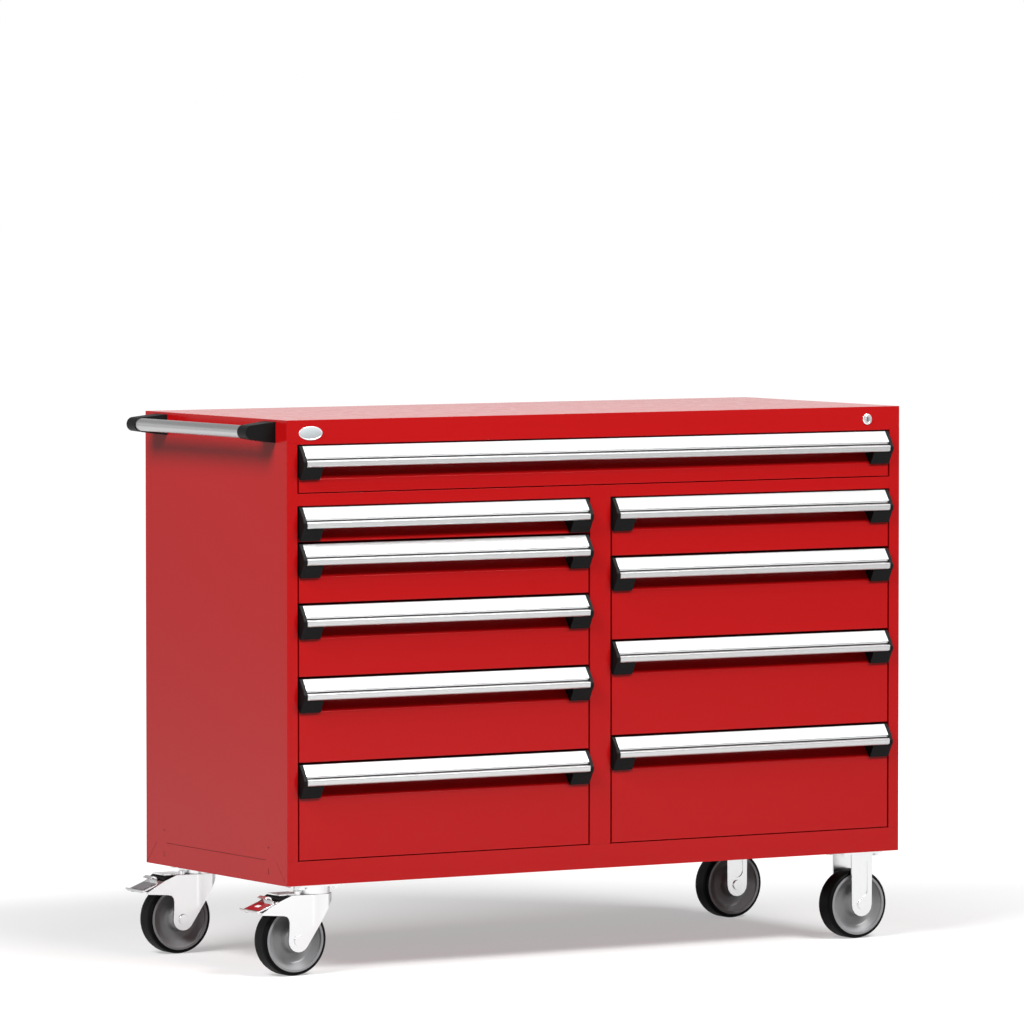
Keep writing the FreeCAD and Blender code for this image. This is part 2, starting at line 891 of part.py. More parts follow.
axle_z = wheel_radius - ground_clearance
head_bottom = -20.5
crown_top = head_bottom - 0.5
plates = []
for corner, axis_x, axis_y in caster_spots[:2]:
    place_name = corner.split("_")[0]
    tag = f"swivel_{place_name}"

    # fixed head: mounting plate, raceway drum and kingpin
    plate = box(
        f"{tag}_plate_sheet",
        axis_x - plate_length / 2,
        axis_y - plate_width / 2,
        -plate_thickness,
        plate_length,
        plate_width,
        plate_thickness,
    )
    drum = cylinder(f"{tag}_drum", axis_x, axis_y, head_bottom, 38, 20.5 - plate_thickness)
    kingpin = cylinder(f"{tag}_kingpin", axis_x, axis_y, -36, 8, 18)
    pin_head = cylinder(f"{tag}_pin_head", axis_x, axis_y, -36, 13, 7)
    holes = []
    for number, (x, y) in enumerate(bolt_places(axis_x, axis_y)):
        holes.append(
            cylinder(f"{tag}_hole_{number}", x, y, -plate_thickness - 1, bolt_radius + 0.3, 8)
        )
    solid = fuse(f"{tag}_head", [plate, drum, kingpin, pin_head])
    plates.append(cut(f"{tag}_head_cut", solid, holes))

    # fork: crown plate and two side plates that sweep back over the wheel
    trail = swivel_trail
    leg = [(-68, -21), (-75, -23.5), (-96.5, -31.8), (-139.5, -55), (-138.5, -58.4)]
    leg += [(-88, -62), (-80, -64), (-75.5, -69), (-73.5, -76), (-73.6, -92)]
    leg += rounded_end(-trail, axle_z, 24, 180, 325)
    leg += [(3, -78), (19, -51), (19, -21)]
    sides = fork_sides(tag, leg, axis_x, axis_y)
    crown_shape = [(-68, -fork_half), (0, -fork_half)]
    crown_shape += rounded_end(0, 0, 41.5, -63, 63, 15)
    crown_shape += [(0, fork_half), (-68, fork_half)]
    crown = prism(
        f"{tag}_crown", "XY", crown_shape, fork_plate, axis_x, axis_y, crown_top - fork_plate
    )
    race = cylinder(f"{tag}_race", axis_x, axis_y, crown_top - fork_plate - 2, 35, 2.2)
    skirt_shape = rounded_end(0, 0, 41.5, -63, 63, 15) + rounded_end(0, 0, 38, 63, -63, 15)
    band = prism(f"{tag}_band", "XY", skirt_shape, 33.5, axis_x, axis_y, -56)
    slope = [(10, -68), (19, -51), (27, -40.5), (36, -33.5), (46, -30.5), (46, -92), (10, -92)]
    sloped = prism(f"{tag}_slope", "XZ", slope, 100, axis_x, axis_y - 50, 0)
    skirt = cut(f"{tag}_skirt", band, [sloped])
    ribs = []
    for side, way in (("near", -1), ("far", 1)):
        face = way * 37.5
        rib_shape = [
            (-19, face - way * 1),
            (-19, face),
            (-16, face + way * 2),
            (-9, face + way * 2),
            (-4, face),
            (-4, face - way * 1),
        ]
        ribs.append(
            prism(f"{tag}_{side}_rib", "XY", rib_shape, 66.8, axis_x, axis_y, -88)
        )
    arm = box(f"{tag}_arm", axis_x - 92, axis_y - 26, -21.2, 51, 52, 2.7)
    boss = cylinder(f"{tag}_boss", axis_x - 48, axis_y - 24, -21.2, 7, 7.7)
    pin_hole = cylinder(f"{tag}_pin_hole", axis_x, axis_y, -34, 8 + running_gap, 20)
    head_room = cylinder(f"{tag}_head_room", axis_x, axis_y, -38, 13.5, 10.5)
    axle_hole = cylinder(
        f"{tag}_axle_hole",
        axis_x - trail,
        axis_y - 60,
        axle_z,
        axle_radius + running_gap,
        120,
        ALONG_Y,
    )
    fork = cut(
        f"{tag}_fork_cut",
        fuse(f"{tag}_fork_solid", sides + ribs + [crown, race, skirt, arm, boss]),
        [pin_hole, head_room, axle_hole],
    )
    block_shape = [(-68.3, -21.6), (-87, -21.6), (-96, -27), (-96, -30.5), (-68.3, -30.5)]
    block_width = 2 * (fork_half - fork_plate)
    block_start = axis_y - fork_half + fork_plate
    block = prism(f"{tag}_block", "XZ", block_shape, block_width, axis_x, block_start, 0)
    node(
        f"swivel_fork_{place_name}",
        group(f"{tag}_fork_set", [fork, axle(f"{tag}_wheel", axis_x - trail, axis_y), block]),
    )
    wheel(f"wheel_{corner}", axis_x - trail, axis_y)

    # brake pedal: a pressed lever between and beyond the fork's side plates, and its release tab
    lever_shape = [
        (-150, -51.5),
        (-148.5, -55.2),
        (-104, -38.5),
        (-84, -36.5),
        (-84, -32),
        (-100, -32.5),
        (-106, -35.4),
        (-146, -50.6),
        (-149, -50),
    ]
    lever = prism(
        f"{tag}_lever", "XZ", lever_shape, 66, axis_x, axis_y - 33, 0
    )
    lip_shape = [(-152, -50.3), (-147.5, -54.6), (-144.5, -53.4), (-145, -49.6), (-150, -48.6)]
    lip = prism(f"{tag}_lip", "XZ", lip_shape, 75, axis_x, axis_y - 37.5, 0)
    tab_shape = [(-104, -36), (-101, -33), (-106, -24.5), (-113, -22), (-121, -26), (-119, -28)]
    tab_shape += [(-113, -25), (-108, -27.5)]
    tab = prism(f"{tag}_tab", "XZ", tab_shape, 34, axis_x, axis_y - 17, 0)
    hinge = cylinder(f"{tag}_hinge", axis_x - 84, axis_y - 33, -36, 5, 66, ALONG_Y)
    node(f"brake_pedal_{place_name}", fuse(f"{tag}_pedal", [lever, lip, tab, hinge]))
node("swivel_plates", group("swivel_plate_pair", plates))

rigid_forks = []
rigid_axles = []
for corner, axis_x, axis_y in caster_spots[2:]:
    tag = f"rigid_{corner.split('_')[0]}"
    plate = box(
        f"{tag}_plate_sheet",
        axis_x - plate_length / 2,
        axis_y - plate_width / 2,
        -plate_thickness,
        plate_length,
        plate_width,
        plate_thickness,
    )
    leg = [(27, -plate_thickness + 0.5), (-27, -plate_thickness + 0.5), (-26, -60)]
    leg += rounded_end(0, axle_z, 25.5, 180, 360)
    leg += [(26, -60)]
    sides = fork_sides(tag, leg, axis_x, axis_y)
    holes = [
        cylinder(
            f"{tag}_axle_hole",
            axis_x,
            axis_y - 60,
            axle_z,
            axle_radius + running_gap,
            120,
            ALONG_Y,
        )
    ]
    for number, (x, y) in enumerate(bolt_places(axis_x, axis_y)):
        holes.append(
            cylinder(f"{tag}_hole_{number}", x, y, -plate_thickness - 1, bolt_radius + 0.3, 8)
        )
    pocket_shape = [(15, -22), (-15, -22)] + rounded_end(0, -84, 15, 180, 360)
    for side, start in (("near", -fork_half - 2), ("far", fork_half - 2)):
        holes.append(
            prism(f"{tag}_{side}_pocket", "XZ", pocket_shape, 4, axis_x, axis_y + start, 0)
        )
    rigid_forks.append(cut(f"{tag}_fork_cut", fuse(f"{tag}_solid", sides + [plate]), holes))
    rigid_axles.append(axle(f"{tag}_wheel", axis_x, axis_y))
    wheel(f"wheel_{corner}", axis_x, axis_y)
node("rigid_forks", group("rigid_fork_pair", rigid_forks))
node("rigid_axles", group("rigid_axle_pair", rigid_axles))

# ---------------------------------------------------------------- checks and files
doc.recompute()
problems = []
for thing in doc.Objects:
    if "Invalid" in thing.State or "Error" in thing.State:
        problems.append(f"{thing.Name}: {thing.State}")
for name, thing in nodes.items():
    shape = thing.Shape
    if shape.isNull() or not shape.isValid() or not shape.Solids:
        problems.append(f"{name}: null, invalid or no solid")
if problems:
    raise RuntimeError("; ".join(problems))
for name, thing in nodes.items():
    thing.Shape.exportStep(f"parts/{name}.step")
print(len(nodes), "nodes written")
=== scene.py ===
import json
import math

import bmesh
import bpy
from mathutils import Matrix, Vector


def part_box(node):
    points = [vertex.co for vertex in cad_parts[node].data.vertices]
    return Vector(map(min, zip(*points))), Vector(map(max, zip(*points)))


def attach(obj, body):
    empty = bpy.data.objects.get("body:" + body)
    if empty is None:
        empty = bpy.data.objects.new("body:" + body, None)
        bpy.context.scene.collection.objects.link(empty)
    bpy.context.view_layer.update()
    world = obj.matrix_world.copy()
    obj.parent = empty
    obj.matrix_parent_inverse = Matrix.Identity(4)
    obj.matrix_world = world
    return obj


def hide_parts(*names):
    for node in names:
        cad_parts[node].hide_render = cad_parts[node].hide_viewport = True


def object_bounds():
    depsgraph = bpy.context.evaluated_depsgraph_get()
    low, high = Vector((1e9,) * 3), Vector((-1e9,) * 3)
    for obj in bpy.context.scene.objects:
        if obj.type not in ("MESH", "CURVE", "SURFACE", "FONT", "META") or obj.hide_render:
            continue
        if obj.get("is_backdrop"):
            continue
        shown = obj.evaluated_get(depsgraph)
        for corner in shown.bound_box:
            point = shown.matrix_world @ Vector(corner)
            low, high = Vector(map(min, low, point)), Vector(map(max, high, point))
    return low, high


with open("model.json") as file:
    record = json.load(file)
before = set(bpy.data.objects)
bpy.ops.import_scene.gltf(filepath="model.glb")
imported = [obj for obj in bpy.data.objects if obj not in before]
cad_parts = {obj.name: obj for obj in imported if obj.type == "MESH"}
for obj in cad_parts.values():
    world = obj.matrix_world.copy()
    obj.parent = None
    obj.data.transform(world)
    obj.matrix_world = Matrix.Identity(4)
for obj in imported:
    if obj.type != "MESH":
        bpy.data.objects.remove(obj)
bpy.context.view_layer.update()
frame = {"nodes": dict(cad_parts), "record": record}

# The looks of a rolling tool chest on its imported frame. Metres, in the frame's own axes.
scene = bpy.context.scene
scene.view_settings.view_transform = "Standard"
scene.view_settings.look = "None"
NODES = frame["nodes"]
BODY_OF = {n: b for b, ns in frame["record"]["behaviour"]["bodies"].items() for n in ns}
SLOT_OF = {s["node"]: s["material_slot"] for s in frame["record"]["subparts"]}
MM = 0.001

# the floor's colour and its own glow, near the object and far from it
FLOOR_SEEN = (0.612, 0.62, 0.62)
FLOOR_GLOW = 0.41
FLOOR_FAR = 1.0
FLOOR_HALF = 90
# how much of that glow a shiny surface reflects, how much of it at +X, and the light the floor throws back
FLOOR_SHINE = 0.62
FLOOR_SHINE_FAR = 0.45
FLOOR_BOUNCE = 0.28
# the surroundings, low down and high up: as a shiny surface reflects them, and as light on dull surfaces
SHINE_LOW = 0.90
SHINE_HIGH = 0.45
AMBIENT_LOW = 0.16
AMBIENT_HIGH = 0.04
# a soft bright patch that shiny surfaces reflect: where it lies, and its strength
SOFTBOX = (0.517, -0.371, 0.775)
SOFTBOX_GAIN = 1.0
# the two lamps: direction from the object's middle, size and strength, at one distance
LAMP_DISTANCE = 9.0
LAMP_TARGET = (0, 0, 0.6)
LAMPS = {
    "left_light": ((-0.72, -0.27, 0.64), (4.4, 3.2), 0.93),
    "front_light": ((0.22, -0.65, 0.73), (5.4, 2.2), 0.97),
}
# the camera: from the left side panel's lower front corner, its tilt below level and its turn, in radians
CAMERA_FROM_CORNER = (-7.7291, -13.6448, 1.5925)
CAMERA_TILT = 0.05202
CAMERA_TURN = 0.54502
CAMERA_LENS = 267.55


# ---------------------------------------------------------------- materials
class Shader:
    """A small helper that wires one Principled material."""

    def __init__(self, name):
        self.material = bpy.data.materials.new(name)
        self.material.use_nodes = True
        self.tree = self.material.node_tree
        self.shader = self.tree.nodes["Principled BSDF"]
        self.coordinates = self.tree.nodes.new("ShaderNodeTexCoord").outputs["Object"]

    def link(self, source, target):
        self.tree.links.new(source, target)

    def noise(self, scale, stretch=(1, 1, 1), detail=3.0, roughness=0.5):
        """Noise in the object's own metres, stretched along an axis for brushed metal."""
        mapping = self.tree.nodes.new("ShaderNodeMapping")
        mapping.inputs["Scale"].default_value = stretch
        self.link(self.coordinates, mapping.inputs["Vector"])
        made = self.tree.nodes.new("ShaderNodeTexNoise")
        made.inputs["Scale"].default_value = scale
        made.inputs["Detail"].default_value = detail
        made.inputs["Roughness"].default_value = roughness
        self.link(mapping.outputs["Vector"], made.inputs["Vector"])
        return made.outputs["Fac"]

    def between(self, factor, low, high, start=0.3, end=0.7):
        """Maps a noise to a range of numbers."""
        made = self.tree.nodes.new("ShaderNodeMapRange")
        made.inputs["From Min"].default_value = start
        made.inputs["From Max"].default_value = end
        made.inputs["To Min"].default_value = low
        made.inputs["To Max"].default_value = high
        self.link(factor, made.inputs["Value"])
        return made.outputs["Result"]

    def colours(self, factor, first, second):
        """Mixes two colours by a factor."""
        made = self.tree.nodes.new("ShaderNodeMix")
        made.data_type = "RGBA"
        made.inputs["A"].default_value = (*first, 1)
        made.inputs["B"].default_value = (*second, 1)
        self.link(factor, made.inputs["Factor"])
        return made.outputs["Result"]

    def bump(self, height, strength, distance=0.0005, after=None):
        made = self.tree.nodes.new("ShaderNodeBump")
        made.inputs["Strength"].default_value = strength
        made.inputs["Distance"].default_value = distance
        self.link(height, made.inputs["Height"])
        if after is not None:
            self.link(after, made.inputs["Normal"])
        return made.outputs["Normal"]

    def set(self, **values):
        for key, value in values.items():
            self.shader.inputs[key.replace("_", " ")].default_value = value
        return self


def powder_coat(name, low, high, rough=(0.15, 0.2)):
    s = Shader(name)
    cloud = s.noise(1.7, detail=4)
    s.link(s.colours(cloud, low, high), s.shader.inputs["Base Color"])
    s.link(s.between(s.noise(55), *rough), s.shader.inputs["Roughness"])
    fine = s.bump(s.noise(1300, detail=2), 0.05, 0.0002)
    s.link(s.bump(s.noise(240, detail=1), 0.025, 0.0003, fine), s.shader.inputs["Normal"])
    s.shader.inputs["Specular IOR Level"].default_value = 0.18
    return s.material


def metal(name, low, high, rough, stretch, scale=60, bump=0.05, metallic=1.0):
    s = Shader(name)
    grain = s.noise(scale, stretch, detail=5, roughness=0.65)
    s.link(s.colours(grain, low, high), s.shader.inputs["Base Color"])
    s.link(s.between(grain, *rough), s.shader.inputs["Roughness"])
    s.link(s.bump(grain, bump, 0.0001), s.shader.inputs["Normal"])
    s.set(Metallic=metallic)
    return s.material


def moulded(name, low, high, rough, scale=900, bump=0.15, specular=0.4):
    s = Shader(name)
    grain = s.noise(scale, detail=2)
    s.link(s.colours(s.noise(30), low, high), s.shader.inputs["Base Color"])
    s.link(s.between(grain, *rough), s.shader.inputs["Roughness"])
    s.link(s.bump(grain, bump, 0.0002), s.shader.inputs["Normal"])
    s.shader.inputs["Specular IOR Level"].default_value = specular
    return s.material


MATERIALS = {
    "red_paint": powder_coat("red_paint", (0.49, 0.0045, 0.0055), (0.51, 0.0050, 0.0062)),
    "pull_aluminium": metal(
        "pull_aluminium", (0.60, 0.60, 0.603), (0.66, 0.66, 0.663), (0.22, 0.3), (0.6, 60, 60), 60, 0.03, 0.85
    ),
    "slide_zinc": metal("slide_zinc", (0.62, 0.64, 0.66), (0.75, 0.76, 0.78), (0.25, 0.4), (60, 1, 60)),
    "tyre": moulded("tyre", (0.002, 0.002, 0.0021), (0.0035, 0.0035, 0.0036), (0.4, 0.55), specular=0.07),
    "wheel_hub": moulded("wheel_hub", (0.27, 0.27, 0.277), (0.32, 0.32, 0.327), (0.26, 0.34), specular=0.5),
    "caster_zinc": metal(
        "caster_zinc", (0.80, 0.80, 0.805), (0.84, 0.84, 0.845), (0.2, 0.26), (1, 1, 1), 12, 0.004
    ),
    "push_bar_steel": metal(
        "push_bar_steel", (0.45, 0.45, 0.455), (0.56, 0.56, 0.565), (0.24, 0.34), (60, 0.6, 60)
    ),
    "black_plastic": moulded(
        "black_plastic", (0.005, 0.005, 0.0053), (0.007, 0.007, 0.0073), (0.4, 0.5), specular=0.1
    ),
    "badge_aluminium": metal(
        "badge_aluminium", (0.70, 0.71, 0.73), (0.8, 0.8, 0.82), (0.25, 0.35), (40, 1, 2)
    ),
    "lock_chrome": metal(
        "lock_chrome", (0.84, 0.84, 0.85), (0.92, 0.92, 0.93), (0.16, 0.24), (1, 1, 1), 80, 0.01
    ),
}
# finishes of the small shown pieces that have no slot in the record; the seam and keyway ones are painted
# shade
SEAM_SHADE = moulded("seam_shade", (0.035, 0.0015, 0.002), (0.05, 0.002, 0.003), (0.5, 0.6), specular=0.08)
RED_INSERT = moulded("pedal_insert_red", (0.27, 0.006, 0.012), (0.32, 0.008, 0.015), (0.3, 0.4), specular=0.3)
GREY_INSERT = moulded("pedal_insert_grey", (0.14, 0.13, 0.135), (0.18, 0.17, 0.175), (0.3, 0.4), specular=0.4)
# the key slot's dark inside as a near-black colour: painted shade
KEYWAY_SHADE = moulded("keyway_painted_shade", (0.004, 0.004, 0.004), (0.006, 0.006, 0.006), (0.5, 0.6), specular=0.1)
BADGE_FIELD = moulded("badge_field", (0.50, 0.54, 0.56), (0.58, 0.62, 0.64), (0.3, 0.4), specular=0.5)
WHITE_MARK = moulded("pedal_mark_white", (0.78, 0.78, 0.78), (0.84, 0.84, 0.84), (0.4, 0.5))


# ---------------------------------------------------------------- meshes
def solids_of(node):
    """The node's separate solids as clean meshes, largest first."""
    source = NODES[node].data
    numbers = {}
    points = []
    ring_of = []
    for vertex in source.vertices:
        key = tuple(round(c * 1e6) for c in vertex.co)
        if key not in numbers:
            numbers[key] = len(points)
            points.append(vertex.co.copy())
        ring_of.append(numbers[key])
    faces = []
    for polygon in source.polygons:
        ring = [ring_of[v] for v in polygon.vertices]
        if len(set(ring)) == len(ring):
            faces.append(ring)
    users = {}
    for number, ring in enumerate(faces):
        for a, b in zip(ring, ring[1:] + ring[:1]):
            users.setdefault((min(a, b), max(a, b)), []).append(number)
    leader = list(range(len(faces)))

    def top(number):
        while leader[number] != number:
            leader[number] = leader[leader[number]]
            number = leader[number]
        return number

    for pair in users.values():
        if len(pair) == 2:
            leader[top(pair[0])] = top(pair[1])
    groups = {}
    for number in range(len(faces)):
        groups.setdefault(top(number), []).append(number)
    results = []
    for members in groups.values():
        one = bmesh.new()
        new_of = {}
        for member in members:
            for v in faces[member]:
                if v not in new_of:
                    new_of[v] = one.verts.new(points[v])
            try:
                one.faces.new([new_of[v] for v in faces[member]])
            except ValueError:
                pass
        bmesh.ops.recalc_face_normals(one, faces=one.faces)
        bmesh.ops.dissolve_limit(one, angle_limit=math.radians(0.4), verts=one.verts, edges=one.edges)
        results.append(one)
    results.sort(key=lambda b: -abs(b.calc_volume()))
    return results


def middle(mesh):
    """The centre of a mesh's box."""
    low = Vector((min(v.co[i] for v in mesh.verts) for i in range(3)))
    high = Vector((max(v.co[i] for v in mesh.verts) for i in range(3)))
    return (low + high) / 2


def extent(mesh, axis):
    values = [v.co[axis] for v in mesh.verts]
    return min(values), max(values)


def rounded(corners, steps=4):
    """A closed outline from (u, v, radius) corners, each rounded by an arc of that radius."""
    outline = []
    count = len(corners)
    for i, (u, v, radius) in enumerate(corners):
        here = Vector((u, v))
        before = Vector(corners[i - 1][:2]) - here
        after = Vector(corners[(i + 1) % count][:2]) - here
        if radius <= 0:
            outline.append(here)
            continue
        half = before.angle(after) / 2
        reach = min(radius / math.tan(half), before.length * 0.49, after.length * 0.49)
        real = reach * math.tan(half)
        start = here + before.normalized() * reach
        end = here + after.normalized() * reach
        centre = here + (before.normalized() + after.normalized()).normalized() * real / math.sin(half)
        a0 = math.atan2(start.y - centre.y, start.x - centre.x)
        a1 = math.atan2(end.y - centre.y, end.x - centre.x)
        turn = (a1 - a0 + math.pi) % (2 * math.pi) - math.pi
        for step in range(steps + 1):
            angle = a0 + turn * step / steps
            outline.append(centre + real * Vector((math.cos(angle), math.sin(angle))))
    return outline


def turned(profile, centre, axis="Y", sides=112):
    """A ring turned from a closed (radius, along) outline about an axis through centre."""
    made = bmesh.new()
    rows = []
    for step in range(sides):
        angle = 2 * math.pi * step / sides
        c, s = math.cos(angle), math.sin(angle)
        row = []
        for radius, along in profile:
            if axis == "Y":
                offset = Vector((radius * c, along, radius * s))
            elif axis == "Z":
                offset = Vector((radius * c, radius * s, along))
            else:
                offset = Vector((along, radius * c, radius * s))
            row.append(made.verts.new(Vector(centre) + offset))
        rows.append(row)
    count = len(profile)
    for step in range(sides):
        here, there = rows[step], rows[(step + 1) % sides]
        for i in range(count):
            j = (i + 1) % count
            made.faces.new((here[i], here[j], there[j], there[i]))
    bmesh.ops.recalc_face_normals(made, faces=made.faces)
    return made


def extruded(outline, start, end, plane="YZ"):
    """A prism from an outline of points, from start to end along the plane's normal."""
    made = bmesh.new()

    def put(u, v, w):
        if plane == "YZ":
            return (w, u, v)
        if plane == "XZ":
            return (u, w, v)
        return (u, v, w)

    near = [made.verts.new(put(u, v, start)) for u, v in outline]
    far = [made.verts.new(put(u, v, end)) for u, v in outline]
    count = len(outline)
    for i in range(count):
        j = (i + 1) % count
        made.faces.new((near[i], near[j], far[j], far[i]))
    made.faces.new(near)
    made.faces.new(list(reversed(far)))
    bmesh.ops.recalc_face_normals(made, faces=made.faces)
    return made


def piece(name, mesh, node, material, bevel=0.0006, segments=2, angle=30, replace=True, body=None):
    """A shown piece from a bmesh, riding on the node's body."""
    data = bpy.data.meshes.new(name)
    mesh.to_mesh(data)
    mesh.free()
    made = bpy.data.objects.new(name, data)
    scene.collection.objects.link(made)
    for polygon in data.polygons:
        polygon.use_smooth = True
    data.materials.append(material)
    if bevel:
        softened = made.modifiers.new("edge", "BEVEL")
        softened.width = bevel
        softened.segments = segments
        softened.limit_method = "ANGLE"
        softened.angle_limit = math.radians(angle)
        softened.harden_normals = True
    else:
        data.set_sharp_from_angle(angle=math.radians(angle))
    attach(made, body or BODY_OF[node])
    if replace:
        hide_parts(node)
    return made


# ---------------------------------------------------------------- drawers
# corners of the aluminium pull's section in mm: from the front plane, from the opening's top, radius
PULL = [
    (20, -3, 0.6), (0, -3, 1.6), (-16, -25.2, 0.8), (-15.8, -26.4, 0.4), (-14.4, -26.9, 0.4),
    (-14.2, -29.6, 0.3), (-12.6, -29.8, 0.3), (-12.6, -32, 0.3),
    (-17.6, -32, 0.5), (-21.3, -33.6, 1.4), (-22, -36.4, 0.8), (-21.9, -39.6, 0.4), (-21.5, -40.3, 0.3),
    (-21.5, -43.6, 1.4), (-18.6, -46.2, 1.4),
    (-15.8, -46.5, 1.0), (-12.6, -43.5, 0.8), (-11, -38, 1.2), (-10.7, -25.5, 2.0), (0.3, -5.5, 0.8),
    (20, -5.5, 0.6),
]
# a black band at the bottom of the pull's groove: painted shade that stands in for the groove's shadow
GROOVE_SHADE = [(-12.7, -29.9, 0), (-14.3, -29.9, 0.3), (-14.3, -31.9, 0.3), (-12.7, -31.9, 0)]
# an end cap's thickness, how far a pull stands out of the front, and the opening's top above it, in mm
CAP = 8.0
PULL_REACH = 22.5
TOP_ABOVE_PULL = 2.5

drawers = sorted(n[: -len("_box")] for n in NODES if n.endswith("_box"))
done = set()
for drawer in drawers:
    node = f"{drawer}_box"
    meshes = solids_of(node)
    piece(f"{drawer}_shell", meshes[0], node, MATERIALS["red_paint"], 0.0005)
    for mesh, side in zip(sorted(meshes[1:], key=lambda m: middle(m).x), ("left", "right")):
        piece(f"{drawer}_{side}_runner", mesh, node, MATERIALS["slide_zinc"], 0.0004)
    node = f"{drawer}_handle"
    low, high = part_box(node)
    front = low.y + PULL_REACH * MM
    top = high.z + TOP_ABOVE_PULL * MM
    section = [(front + u * MM, top + v * MM) for u, v in rounded(PULL)]
    bar = extruded(section, low.x + CAP * MM, high.x - CAP * MM)
    piece(f"{drawer}_pull", bar, node, MATERIALS["pull_aluminium"], 0, angle=26)
    # the groove's painted shade: a black band the length of the pull
    groove_shade = [(front + u * MM, top + v * MM) for u, v in rounded(GROOVE_SHADE)]
    groove_shade = extruded(groove_shade, low.x + CAP * MM, high.x - CAP * MM)
    piece(f"{drawer}_pull_groove_shade", groove_shade, node, MATERIALS["black_plastic"], 0, replace=False)
    meshes = solids_of(node)
    for mesh, side in zip(sorted(meshes[1:], key=lambda m: middle(m).x), ("left", "right")):
        piece(f"{drawer}_{side}_cap", mesh, node, MATERIALS["black_plastic"], 0.0009, 3)
    done.update((f"{drawer}_box", f"{drawer}_handle"))


# ---------------------------------------------------------------- panel seams
# the shade that fills the pressed seams and holes of the two side panels, in mm from the lower front corner
SHADE_START = 0.1
SHADE_DEPTH = 0.68
HOLE_RADIUS = 1.75
HOLES = ((78.8, 75.4), (78.8, 27.6), (78.8, 21.5), (530.7, 75.4), (530.7, 27.6), (530.7, 21.5))
for panel, side in (("left_side_panel", "left"), ("right_side_panel", "right")):
    low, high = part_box(panel)
    if side == "left":
        face = (low.x + SHADE_START * MM, low.x + SHADE_DEPTH * MM)
    else:
        face = (high.x - SHADE_DEPTH * MM, high.x - SHADE_START * MM)
    depth = (high.y - low.y) / MM
    rings = {
        "slit": [(90.6, 48.02), (518.4, 48.02), (518.4, 48.98), (90.6, 48.98)],
        "front_mitre": [(1.2, 1.0), (45.7, 46.7), (45.25, 46.7), (0.7, 0.8)],
    }
    rings["rear_mitre"] = [(depth - u, v) for u, v in rings["front_mitre"]]
    for number, (along, up) in enumerate(HOLES, 1):
        turns = [math.radians(15 * k) for k in range(24)]
        rings[f"hole_{number}"] = [
            (along + HOLE_RADIUS * math.cos(turn), up + HOLE_RADIUS * math.sin(turn)) for turn in turns
        ]
    for name, ring in rings.items():
        slab = extruded([(low.y + u * MM, low.z + v * MM) for u, v in ring], face[0], face[1])
        piece(f"{side}_panel_{name}", slab, panel, SEAM_SHADE, 0, replace=False)


# ---------------------------------------------------------------- wheels
def mirrored_profile(half):
    """A closed outline from the half on the near side, given outwards from the bore."""
    return half + [(u, -v, r) for u, v, r in reversed(half)]


TYRE_HALF = [(66.95, -23.0, 0.2), (70.0, -23.0, 1.0), (73.6, -20.4, 2.2), (75.0, -14.0, 8.0)]
HUB_HALF = [
    (6.1, -33.4, 0.4), (15.5, -33.4, 1.2), (17.0, -26.0, 2.5), (23.5, -21.5, 3.0), (27.5, -9.0, 7.0),
    (45.0, -6.0, 14.0), (60.5, -19.5, 2.4), (61.5, -23.0, 0.8), (66.85, -23.0, 0.3),
]
for node in sorted(n for n in NODES if n.startswith("wheel_")):
    low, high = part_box(node)
    centre = (low + high) / 2
    half = TYRE_HALF if node.endswith("_tyre") else HUB_HALF
    outline = [(u * MM, v * MM) for u, v in rounded(mirrored_profile(half), 6)]
    key = "tyre" if node.endswith("_tyre") else "wheel_hub"
    piece(f"{node}_shown", turned(outline, centre), node, MATERIALS[key], 0, angle=40)
    done.add(node)

# ---------------------------------------------------------------- push handle
node = "push_handle_bar"
low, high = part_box(node)
radius = (high.z - low.z) / 2
length = high.y - low.y
BAR_BORE = 0.8 * MM
BAR_ROUND = 2 * MM
outline = rounded([
    (BAR_BORE, 0, 0), (radius, 0, BAR_ROUND), (radius, length, BAR_ROUND), (BAR_BORE, length, 0)
])
centre = ((low.x + high.x) / 2, low.y, (low.z + high.z) / 2)
piece("push_handle_bar_shown", turned(outline, centre), node, MATERIALS["push_bar_steel"], 0)
done.add(node)
node = "push_handle_brackets"
for mesh, side in zip(sorted(solids_of(node), key=lambda m: middle(m).y), ("front", "rear")):
    piece(f"push_bracket_{side}", mesh, node, MATERIALS["black_plastic"], 0.0012, 3, angle=35)
done.add(node)

# ---------------------------------------------------------------- casters
# the axle is the node's widest solid and the brake block its shortest
AXLE_LENGTH = 82
BLOCK_LENGTH = 40
for side in ("front", "rear"):
    node = f"swivel_fork_{side}"
    for mesh in solids_of(node):
        x0, x1 = extent(mesh, 0)
        y0, y1 = extent(mesh, 1)
        if y1 - y0 > AXLE_LENGTH * MM:
            piece(f"swivel_axle_{side}", mesh, node, MATERIALS["caster_zinc"], 0.0006, 3)
        elif x1 - x0 < BLOCK_LENGTH * MM:
            piece(f"brake_block_{side}", mesh, node, MATERIALS["black_plastic"], 0.0012, 3)
        else:
            piece(f"swivel_fork_{side}_shown", mesh, node, MATERIALS["caster_zinc"], 0.0011, 3, angle=25)
    done.add(node)

